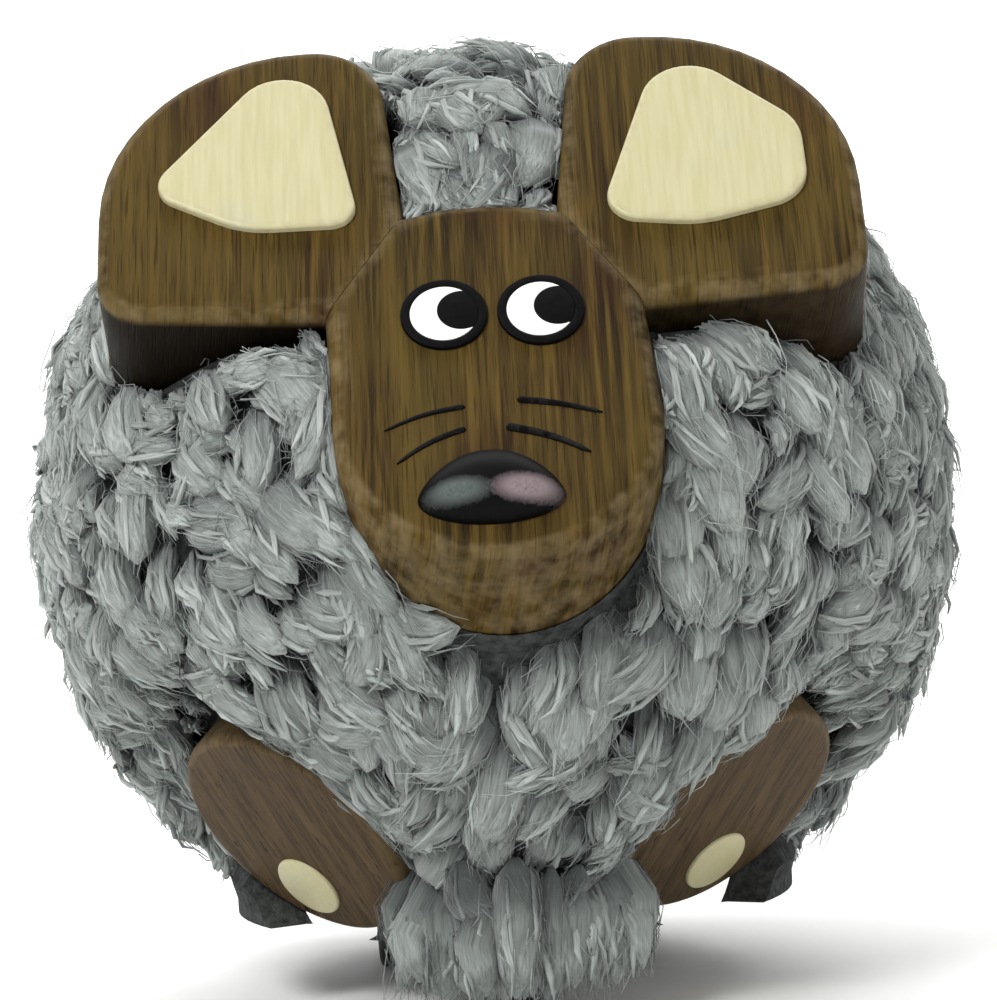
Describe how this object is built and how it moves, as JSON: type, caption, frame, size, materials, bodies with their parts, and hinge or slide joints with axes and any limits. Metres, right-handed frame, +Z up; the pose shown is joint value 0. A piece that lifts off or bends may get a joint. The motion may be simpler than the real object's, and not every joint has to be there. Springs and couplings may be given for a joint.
{
  "type": "clockwork toy mouse",
  "caption": "Wind-up mouse: a round woollen body with a walnut head, walnut feet, a key at the back, two driven wheels and a front roller.",
  "frame": {"origin": "on the floor under the middle of the mouse, half way between the foremost point of the nose and the end of the key, under the centre of the ball of wool", "axes": "+Z up, -Y the way the mouse faces and runs, +X to the viewer's right when facing the mouse"},
  "size_m": [0.11, 0.1276, 0.111],
  "materials": {
    "wool": "matte",
    "moulding": "satin",
    "tinplate": "satin",
    "screw_steel": "satin",
    "walnut": "satin",
    "dowel_wood": "matte",
    "cream_paint": "satin",
    "eye_black": "gloss",
    "eye_white": "gloss",
    "nose_black": "gloss",
    "motor_steel": "satin",
    "brass": "polished",
    "spring_steel": "polished",
    "key_steel": "polished",
    "rubber": "matte"
  },
  "bodies": {
    "root": {"wool_coat": "wool", "lower_shell": "moulding", "upper_shell": "moulding", "chassis_plate": "tinplate", "chassis_screws": "screw_steel", "head_block": "walnut", "left_ear": "walnut", "right_ear": "walnut", "ear_dowels": "dowel_wood", "left_ear_panel": "cream_paint", "right_ear_panel": "cream_paint", "eye_rims": "eye_black", "eye_whites": "eye_white", "pupils": "eye_black", "nose": "nose_black", "head_dowel": "dowel_wood", "head_screws": "screw_steel", "left_foot": "walnut", "right_foot": "walnut", "foot_dots": "cream_paint", "foot_screws": "screw_steel", "motor_front_plate": "motor_steel", "motor_back_plate": "motor_steel", "motor_pillars": "brass", "motor_screws": "screw_steel", "arbor_bushes": "brass", "mainspring": "spring_steel", "key_tube": "brass"},
    "great_wheel": {"great_wheel": "brass", "click_rivet": "motor_steel", "click_spring": "spring_steel"},
    "click": {"click": "motor_steel"},
    "winder": {"winding_arbor": "motor_steel", "ratchet_wheel": "motor_steel", "key": "key_steel"},
    "second_wheel": {"second_arbor": "motor_steel", "second_wheel": "brass", "second_pinion": "motor_steel"},
    "third_wheel": {"third_arbor": "motor_steel", "third_pinion": "motor_steel", "crown_wheel": "brass"},
    "drive_axle": {"drive_axle": "motor_steel", "axle_pinion": "motor_steel", "wheel_hubs": "tinplate", "tyres": "rubber"},
    "steering": {"steering_fork": "tinplate", "steering_washer": "motor_steel", "roller_pin": "motor_steel"},
    "roller": {"front_roller": "rubber"}
  },
  "joints": [
    {"name": "great_wheel_turn", "type": "hinge", "parent": "root", "child": "great_wheel", "pos_m": [0, 0, 0.0415], "axis": [0, 1, 0], "continuous": true},
    {"name": "second_wheel_turn", "type": "hinge", "parent": "root", "child": "second_wheel", "pos_m": [0, 0, 0.024], "axis": [0, 1, 0], "continuous": true},
    {"name": "third_wheel_turn", "type": "hinge", "parent": "root", "child": "third_wheel", "pos_m": [0, 0, 0.01], "axis": [0, 1, 0], "continuous": true},
    {"name": "drive_axle_turn", "type": "hinge", "parent": "root", "child": "drive_axle", "pos_m": [0, 0.009, 0.01], "axis": [1, 0, 0], "continuous": true},
    {"name": "key_wind", "type": "hinge", "parent": "great_wheel", "child": "winder", "pos_m": [0, 0, 0.0415], "axis": [0, 1, 0], "continuous": true, "deforming": ["mainspring"]},
    {"name": "click_lift", "type": "hinge", "parent": "great_wheel", "child": "click", "pos_m": [0.0072, 0, 0.0333], "axis": [0, 1, 0], "range_deg": [0, 12], "stiffness_Nm_per_rad": 0.0004, "springref_deg": -17.19, "deforming": ["click_spring"]},
    {"name": "steering", "type": "hinge", "parent": "root", "child": "steering", "pos_m": [0, -0.02, 0.014], "axis": [0, 0, 1], "range_deg": [-30, 30]},
    {"name": "roller_spin", "type": "hinge", "parent": "steering", "child": "roller", "pos_m": [0, -0.0225, 0.0045], "axis": [1, 0, 0], "continuous": true}
  ],
  "couplings": [
    {"joint": "great_wheel_turn", "follows": "drive_axle_turn", "ratio": 0.041667},
    {"joint": "second_wheel_turn", "follows": "drive_axle_turn", "ratio": -0.16667},
    {"joint": "third_wheel_turn", "follows": "drive_axle_turn", "ratio": 0.5}
  ]
}
